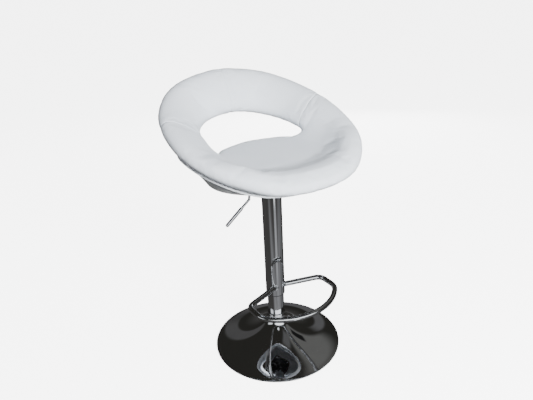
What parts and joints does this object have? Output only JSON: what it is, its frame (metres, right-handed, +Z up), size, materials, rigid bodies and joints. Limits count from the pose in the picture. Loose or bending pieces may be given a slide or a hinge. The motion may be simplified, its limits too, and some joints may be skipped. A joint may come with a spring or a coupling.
{
  "type": "adjustable swivel stool",
  "caption": "Height-adjustable swivel stool: padded ring seat with open back, gas-lift column, D-shaped footrest and round trumpet base.",
  "frame": {"origin": "on the floor, on the column axis", "axes": "+Z up along the column; the sitter faces -Y; the release lever is on the sitter's right, towards -X"},
  "size_m": [0.5322, 0.516, 0.8129],
  "materials": {
    "chrome": "mirror chromed sheet steel",
    "chrome_column": "mirror chromed tube, fine draw lines",
    "chrome_bar": "mirror chromed bar",
    "chrome_lever": "mirror chromed rod",
    "chrome_rod": "ground and chromed",
    "cast_iron": "rough cast",
    "plain_steel": "mill finish",
    "bearing_steel": "ground",
    "zinc_steel": "zinc plated",
    "spring_steel": "oiled",
    "cage_brass": "pressed",
    "floor_rubber": "matt",
    "pale_plastic": "moulded",
    "black_plastic": "moulded",
    "black_paint": "satin black paint",
    "plywood": "raw",
    "white_leatherette": "soft satin leatherette, fine grain",
    "white_leatherette_under": "soft satin leatherette, fine grain",
    "white_piping": "soft satin leatherette cord"
  },
  "bodies": {
    "base": {"floor_ring": "floor_rubber", "base_dish": "chrome", "ballast_disc": "cast_iron", "column_socket": "plain_steel", "standpipe": "chrome_column", "guide_bush": "pale_plastic", "lower_race": "bearing_steel", "bearing_cage": "cage_brass", "bearing_balls": "bearing_steel", "rod_washer": "zinc_steel", "rod_clip": "spring_steel"},
    "piston": {"upper_race": "bearing_steel", "bump_stop": "floor_rubber", "piston_rod": "chrome_rod", "piston_head": "zinc_steel"},
    "seat": {"gas_tube": "black_paint", "rod_guide": "black_plastic", "taper_socket": "plain_steel", "shroud_tube": "chrome_column", "shroud_bush": "black_plastic", "footrest_loop": "chrome_bar", "seat_plate": "black_paint", "lever_bracket": "black_paint", "lever_pin": "zinc_steel", "seat_board": "plywood", "seat_bolts": "zinc_steel", "bolt_washers": "zinc_steel", "tee_nuts": "zinc_steel", "seat_shell": "white_leatherette_under", "piping": "white_piping", "frame_hoop": "black_paint", "seat_cushion": "white_leatherette"},
    "valve": {"valve_pin": "chrome_rod"},
    "lever": {"lever_hub": "plain_steel", "lever_rod": "chrome_lever", "lever_sleeve": "chrome_lever"}
  },
  "joints": [
    {"name": "seat_swivel", "type": "hinge", "parent": "base", "child": "piston", "pos_m": [0, 0, 0.02], "axis": [0, 0, 1], "continuous": true},
    {"name": "seat_height", "type": "slide", "parent": "piston", "child": "seat", "axis": [0, 0, 1], "range_m": [0, 0.21]},
    {"name": "lever_lift", "type": "hinge", "parent": "seat", "child": "lever", "pos_m": [-0.04, 0, 0.566], "axis": [0, 1, 0], "range_deg": [0, 7], "stiffness_Nm_per_rad": 8, "springref_deg": -8.59},
    {"name": "valve_press", "type": "slide", "parent": "seat", "child": "valve", "axis": [0, 0, 1], "range_m": [-0.0055, 0]}
  ],
  "couplings": [
    {"joint": "valve_press", "follows": "lever_lift", "m_per_rad": -0.0435}
  ]
}
